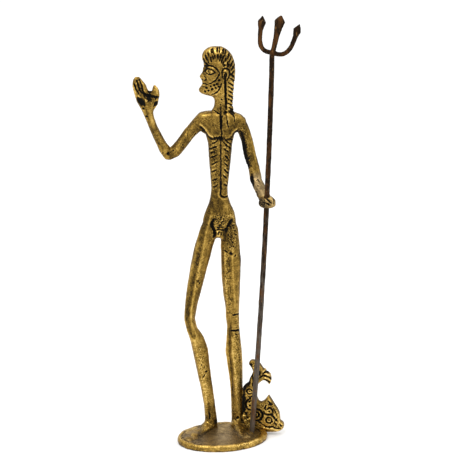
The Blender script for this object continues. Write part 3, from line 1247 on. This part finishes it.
def platePaint(work):  # the field is duller than the rim and the feet
    rimGap = onPlate(work.points)[0]
    radius = onPlate(work.points + (plate["fieldShift"], 0, 0))[0]
    x, y, z = work.points.T
    top = (1 - fade(z, 3.7, 4.8)) * fade(z, 2.2, 3.0)
    radius = radius + (0.8 * lumps(work.points, 7.0, 18) + 0.5 * lumps(work.points, 2.6, 19))
    field = top * (1 - fade(radius, plate["field"] - 0.8, plate["field"] + 0.4))
    work.tarnish = np.maximum(work.tarnish, plate["dirt"]["field"] * field)
    centre = bell(x - 1.0, 7.0) * bell(y + 6.0, 5.0)
    pale, paler = plate["pale"]
    work.pale = np.maximum(work.pale, field * (pale + paler * centre))
    work.shades -= plate["brighter"] * field * centre
    line = bell(radius - plate["field"], plate["line"]["width"]) * top
    broken = 0.5 + 0.5 * lumps(work.points, 5.0, 20)
    work.tarnish = np.maximum(work.tarnish, plate["line"]["dirt"] * line * broken)
    work.rise -= plate["line"]["depth"] * line
    rim = plate["rim"]
    work.wear = np.maximum(work.wear, rim["wear"] * bell(rimGap - rim["place"], 1.0) * top)
    work.rise += rim["unevenness"] * fade(rimGap, 22, 25) * (z < 4.0) * lumps(work.points, 5.0, 24)
    lower = (1 - fade(z, 0.2, 1.2)) * fade(rimGap, 24, 26)
    work.tarnish = np.maximum(work.tarnish, plate["dirt"]["lowerEdge"] * lower)


def bodyPaint(work):  # the shins are rubbed bright, the chest and belly keep more brown
    x, z = work.flat.T
    for amount, bottom, top, half in figure["zones"]:
        work.shades += amount * fade(z, *bottom) * (1 - fade(z, *top)) * (x * half >= 0)
    work.shades += 0.05 * lumps(work.points * (1, 1, 0.35), 5.0, 25) + 0.05 * lumps(work.points, 14.0, 26)


def withMounds(piece):
    mounds = []
    for centre, size in figure["mounds"]:
        place = Vector(centre) * mm
        bpy.ops.mesh.primitive_ico_sphere_add(subdivisions=3, radius=mm, location=place, scale=size)
        bpy.ops.object.transform_apply(location=True, rotation=True, scale=True)
        mounds.append(bpy.context.object)
    return joinUp("seaGod", *mounds, piece)


def crispShare(points):  # the plate and the raised hand are evened out less than the rest
    base = 0.85 * (1 - fade(points[:, 2], 3.8, 6.0))
    hand = 0.6 * fade(points[:, 2], 204, 207) * (points[:, 0] < -35)
    return np.maximum(base, hand)


def makeFigure():
    piece = withMounds(copyOfNode("figure_on_base", "seaGod"))
    applyModifier(piece, "REMESH", mode="VOXEL", voxel_size=figure["blank"] * mm)
    print("figure blank", len(piece.data.vertices))
    evenOut(piece, figure["rounds"], crispShare)
    for place in figure["swells"]:
        swell(piece, *place)
    for place in figure["relaxed"]:
        relax(piece, *place)
    lowerFeet(piece)
    flatUnderside(piece)
    roundPlate(piece)
    applyModifier(piece, "SUBSURF", levels=1, render_levels=1)
    print("figure ready to carve", len(piece.data.vertices))
    work = Carving(piece)
    bodyPaint(work)
    platePaint(work)
    for side in (1, -1):
        work.side = side
        carveHair(work)
        carveFace(work)
        carvePlait(work)
    work.side = 1
    carveChest(work)
    carveBelly(work)
    carveHips(work)
    carveLegs(work)
    carveFeet(work)
    carveHand(work)
    carveRaisedArm(work)
    carveLoweredArm(work)
    work.side = -1
    carveBack(work)
    work.finish(fuller=figure["fuller"])
    flatUnderside(piece)
    thin(piece, figure["triangles"])
    return piece


def keepInside(piece, node):  # the looks stay in the solid's own box
    low, high = (np.array(corner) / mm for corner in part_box(node))
    if node == "dolphin":
        low[0] -= dolphin["widen"]
    writePoints(piece, np.clip(readPoints(piece), low + 0.01, high - 0.01))


# Dolphin

dolphin = {
    "place": (31.0, 9.0),
    "turn": 10.0,
    "blank": 0.4,
    "rounds": 8,
    "widen": 0.9,  # the back edge is soldered on behind the leg
    "shift": 0.1,
    "backEdge": 15.6,
    "boldness": 1.15,
    "grain": 0.02,
    "swells": [(16.6, 36.2, 2.2, 0.6, (1.0, 1.0)), (30.4, 29.8, 1.4, 0.5, (1.0, 1.0))],
    "folds": [  # of the tail fin
        [(-6.4, 39.2), (-5.2, 40.6), (-3.4, 41.0), (-1.8, 40.0), (-0.8, 38.4)],
        [(-8.8, 36.4), (-6.6, 38.2), (-4.4, 38.7), (-2.2, 37.9), (-1.0, 36.6)],
        [(-5.4, 36.0), (-4.0, 36.0), (-2.6, 35.5), (-1.4, 34.4)],
    ],
    "notches": [11.6, 14.4, 17.6, 21.0, 24.6, 28.0],  # heights along the back edge
    "triangles": 120000,
}


def carveDolphin(work):
    carveDolphinHead(work)
    carveDolphinBody(work)
    carveDolphinTail(work)
    work.shades -= 0.035  # the whole casting is a little brighter
    work.stain(-18.2, 18.0, 1.3, 1.0, 0, (0.6, 8.0))
    facing = work.facing * work.side
    edge = 1 - fade(facing, 0.1, 0.8)
    work.tarnish = np.maximum(work.tarnish, 0.2 * edge * (facing > 0))


def carveDolphinHead(work):
    work.cut(ring(-2.0, 9.8, 1.85), 1.0, 0.7, 0)  # eye
    work.punch(-2.0, 9.8, 0.55, 0.5)
    work.ridge(ring(-2.0, 9.8, 1.0), 0.5, 0.25, 1.0)
    # the scroll over the brow
    work.cut(rounded([(-3.3, 16.9), (-1.7, 17.9), (0.2, 16.4), (0.0, 14.9)]), 1.15, 0.7, 0.25)
    work.punch(-1.8, 15.5, 0.65, 0.6)
    work.ridge(rounded([(-3.2, 15.6), (-2.0, 16.8), (-0.8, 15.9), (-1.0, 14.7)]), 0.6, 0.3, 1.0)
    work.cut(rounded([(-3.7, 19.7), (-4.5, 17.6), (-3.6, 16.0)]), 1.0, 0.6)
    brow = rounded([(-5.2, 15.4), (-4.6, 14.0), (-3.0, 13.4), (-0.8, 13.7), (0.7, 12.5), (2.2, 10.4),
                    (3.6, 9.2)])
    work.cut(brow, 1.3, 0.75, 0.25)
    work.cut([(3.1, 11.5), (2.3, 10.3), (1.7, 9.4)], 0.9, 0.6)  # nostril
    work.ridge(moved(brow, 0.7, 1.2), 0.8, 0.3, 0.9)
    work.ridge(moved(brow, -0.7, -1.3), 0.7, 0.25, 0.8)
    work.cut(rounded([(1.4, 8.6), (2.4, 7.4), (2.2, 6.0)]), 1.1, 0.6)
    lip = rounded([(-6.4, 7.0), (-4.6, 6.0), (-2.4, 5.4), (0.2, 5.6), (2.4, 4.9), (5.0, 5.2)])
    work.cut(lip, 1.0, 0.6, 0.25)
    work.stain(-2.2, 5.2, 0.9, 1.0)  # corner of the mouth
    work.ridge(moved(lip, 0.2, -1.2), 1.0, 0.4, 1.0)  # lower lip
    work.cut([(4.4, 8.0), (5.4, 6.8), (6.2, 6.6)], 0.8, 0.5)
    work.cut([(-2.6, 22.6), (-1.4, 21.2)], 1.0, 0.5)  # forehead
    work.stain(-1.0, 20.6, 1.1, 1.0)
    work.cut([(0.4, 18.8), (1.8, 16.2), (3.0, 13.0)], 0.7, 0.4)
    work.roughen([(-2.0, 22.0), (2.0, 15.0)], 4.0, 1.0)
    work.roughen([(1.0, 8.0), (5.0, 6.0)], 5.0, 1.0)  # snout


def carveDolphinBody(work):
    work.cut(ring(-9.8, 12.9, 3.75, 118, -225, 22), 1.45, 0.8, 0.15)  # the great scroll of the cheek
    work.cut(rounded([(-9.0, 8.7), (-7.7, 8.0), (-6.2, 7.4)]), 1.2, 0.7)
    work.cut(ring(-9.9, 12.9, 1.6, 110, -230), 1.2, 0.7, 0.2)
    work.ridge(ring(-9.8, 12.9, 2.7, 110, -215), 0.7, 0.35, 1.0)
    work.punch(-10.0, 12.9, 0.5, 0.4)
    work.cut(ring(-13.3, 19.4, 3.2, 95, 170, 16, 1.15), 1.25, 0.75, 0.2)  # the second scroll, on the back
    work.ridge(ring(-13.1, 19.4, 2.2, 100, 160, 16, 1.15), 0.7, 0.35, 1.0)
    work.cut(rounded([(-14.6, 20.6), (-13.8, 21.6), (-12.8, 21.9)]), 0.9, 0.6)
    work.punch(-13.9, 18.8, 0.65, 0.6)
    work.cut([(-12.2, 18.0), (-11.6, 16.6)], 0.9, 0.5)
    work.cut(rounded([(-15.4, 24.8), (-13.8, 24.2), (-12.2, 25.0)]), 0.8, 0.5)
    work.stain(-17.2, 19.0, 1.6, 1.0, 0.2, (0.7, 4.2))  # dirt along the back edge
    work.stain(-16.4, 12.6, 1.2, 1.0, 0.2, (0.8, 1.6))
    work.stain(-14.8, 10.0, 1.2, 0.9)
    work.stain(-17.4, 30.0, 1.6, 0.85, 0.1, (0.7, 2.6))
    work.cut(rounded([(-12.6, 9.6), (-11.8, 7.0), (-9.4, 5.6)]), 1.0, 0.5)  # throat
    for z in dolphin["notches"]:
        work.ridge([(-17.4, z), (-16.6, z + 0.2), (-15.7, z + 1.0)], 0.5, 0.2, 0.8)
    work.roughen([(-14.0, 12.0), (-12.0, 5.0), (-6.0, 4.4)], 4.6, 1.0)
    work.roughen([(-8.0, 19.6), (-4.8, 19.4)], 3.4, 0.9)


def carveDolphinTail(work):
    work.cut(ring(-14.2, 27.9, 1.65, 20, 290), 0.95, 0.6, 0.15)  # the small scroll
    work.ridge(ring(-14.2, 27.9, 0.9), 0.6, 0.25, 1.0)
    work.punch(-14.2, 27.9, 0.35, 0.3)
    for line in dolphin["folds"]:
        work.cut(rounded(line), 1.0, 0.65, 0.3)
        work.ridge(moved(rounded(line), 0, 1.1), 0.6, 0.3, 0.9)
    work.stain(-7.8, 40.0, 1.0, 1.0, 0.2, (0.6, 1.9))
    work.cut(rounded([(-10.6, 39.8), (-9.6, 37.2), (-9.8, 34.6)]), 1.1, 0.6)  # root of the fin
    work.cut(rounded([(-12.2, 38.6), (-11.8, 35.0), (-12.4, 31.6)]), 1.0, 0.55)
    work.stain(-13.4, 45.0, 1.2, 0.85)
    work.stain(-14.6, 33.4, 1.3, 0.9, 0.1, (0.8, 1.5))
    work.shade([(-17.6, 28.6), (-15.6, 33.0), (-13.8, 37.0), (-12.4, 40.4)], 2.4, 0.5, 0)  # a darker back
    work.roughen([(-12.0, 44.0), (-10.0, 36.0)], 4.0, 0.8)


def makeDolphin():
    piece = copyOfNode("dolphin", "dolphinCasting")
    applyModifier(piece, "REMESH", mode="VOXEL", voxel_size=dolphin["blank"] * mm)
    evenOut(piece, dolphin["rounds"])
    for place in dolphin["swells"]:
        swell(piece, *place)
    points = readPoints(piece)
    behind = fade(dolphin["backEdge"] - points[:, 0], 0, 2) * fade(points[:, 2], 3, 8)
    points[:, 0] -= dolphin["shift"] + (dolphin["widen"] - dolphin["shift"]) * behind
    writePoints(piece, points)
    applyModifier(piece, "SUBSURF", levels=1, render_levels=1)
    print("dolphin ready to carve", len(piece.data.vertices))
    work = Carving(piece, dolphin["turn"], dolphin["place"], dolphin["boldness"])
    for side in (1, -1):
        work.side = side
        carveDolphin(work)
    work.finish(dolphin["grain"])
    thin(piece, dolphin["triangles"])
    return piece


# Trident

shaft = {
    "foot": (17.8, 3.8),
    "middle": (26.7, 0.4),
    "top": (29.0, -4.0),
    "low": 1.4,
    "high": 238.9,
    "radius": 1.58,
    "rings": 160,
}


def shaftPoint(height):
    t = height / shaft["high"]
    x, y = ((1 - t) ** 2 * a + 2 * t * (1 - t) * b + t * t * c
            for a, b, c in zip(shaft["foot"], shaft["middle"], shaft["top"]))
    return Vector((x, y, height))


def tubeAlong(name, route):  # route gives place and width in mm, at each station
    bpy.ops.curve.primitive_bezier_curve_add()
    tube = bpy.context.object
    tube.name = name
    tube.data.splines.clear()
    spline = tube.data.splines.new("POLY")
    spline.points.add(len(route) - 1)
    for point, (place, width) in zip(spline.points, route):
        point.co = (*(Vector(place) * mm), 1)
        point.radius = width / 2
    tube.data.dimensions = "3D"
    tube.data.bevel_depth = mm
    tube.data.bevel_resolution = 6
    tube.data.use_fill_caps = True
    pickOnly(tube)
    bpy.ops.object.convert(target="MESH")
    bpy.ops.object.transform_apply(location=True, rotation=True, scale=True)
    bpy.ops.object.mode_set(mode="EDIT")
    bpy.ops.mesh.select_all(action="SELECT")
    bpy.ops.mesh.remove_doubles(threshold=0.01 * mm)
    bpy.ops.mesh.normals_make_consistent(inside=False)
    bpy.ops.object.mode_set(mode="OBJECT")
    return bpy.context.object


def makeShaft():
    heights = np.linspace(shaft["low"], shaft["high"], shaft["rings"])
    rod = tubeAlong("tridentRod", [(shaftPoint(height), 2 * shaft["radius"]) for height in heights])
    points = readPoints(rod)
    dents = 0.05 * lumps(points * (1, 1, 0.25), 1.6, 71) + 0.04 * lumps(points, 9.0, 72)
    writePoints(rod, points + readNormals(rod) * dents[:, None])
    bpy.ops.object.shade_smooth()
    return rod


fork = {
    "root": (29.3, 240.25),
    "lean": 12.9,
    "y": -4.0,
    "spread": {1: 1.03, -1: 0.97},  # the right prong stands a little wider
    "flat": 1.7,  # thickness of the hammered heads
    "middle": [(0, -1.4, 3.0), (0, 4, 3.1), (-0.1, 9.6, 3.4), (-0.2, 14.0, 4.5), (-0.2, 18.0, 6.1),
               (-0.2, 18.8, 6.3), (-0.2, 22.6, 0.4)],  # across, up and width
    "bend": [(0, -0.1), (4.6, 0.1), (7.4, 2.0), (9.2, 5.4), (10.0, 9.8)],
    "bendWidth": 2.8,
    "side": [(10.2, 12.0, 3.1), (10.5, 15.4, 4.8), (10.6, 16.2, 5.0), (10.9, 19.7, 0.4)],
    "blank": 0.24,
    "triangles": 60000,
}


def leaning(x, z):  # from the fork's own upright to where it leans
    cosine, sine = math.cos(math.radians(fork["lean"])), math.sin(math.radians(fork["lean"]))
    return (fork["root"][0] + x * cosine + z * sine, fork["y"], fork["root"][1] - x * sine + z * cosine)


def makeFork():
    middle = tubeAlong("middleProng", [(leaning(x, z), width) for x, z, width in fork["middle"]])
    prongs = [middle]
    for side in (1, -1):
        spread = side * fork["spread"][side]
        route = [(leaning(spread * x, z), fork["bendWidth"]) for x, z in rounded(fork["bend"], 6)]
        route += [(leaning(spread * x, z), width) for x, z, width in fork["side"]]
        prongs.append(tubeAlong("sideProng", route))
    piece = joinUp("tridentHead", *prongs)
    points = readPoints(piece)
    depth = points[:, 1] - fork["y"]
    flat = fork["flat"] / 2
    points[:, 1] = fork["y"] + np.sign(depth) * np.minimum(np.abs(depth), flat + 0.12 * np.abs(depth))
    writePoints(piece, points)
    applyModifier(piece, "REMESH", mode="VOXEL", voxel_size=fork["blank"] * mm)
    points = readPoints(piece)
    dents = 0.05 * lumps(points, 2.2, 73) + 0.03 * lumps(points, 1.0, 74)
    writePoints(piece, points + readNormals(piece) * (dents - 0.02)[:, None])
    evenOut(piece, 3)
    thin(piece, fork["triangles"])
    keepAttribute(piece, "edge", 1 - fade(np.abs(readNormals(piece)[:, 1]), 0.35, 0.95))
    return piece


# Putting it together

setCamera()
layFloor()
setLights()
print("camera, floor and lights set")

brass = antiqueBrass()
iron = rustyIron()
print("materials made")

for makePiece, node, slot, material in (
    (makeFigure, "figure_on_base", "brass", brass),
    (makeDolphin, "dolphin", "brass", brass),
    (makeShaft, "trident_shaft", "iron", iron),
    (makeFork, "trident_fork", "iron", iron),
):
    piece = makePiece()
    keepInside(piece, node)
    piece.data.materials.clear()
    piece.data.materials.append(material)
    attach(piece, "root")
    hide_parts(node)
    print("made", piece.name)
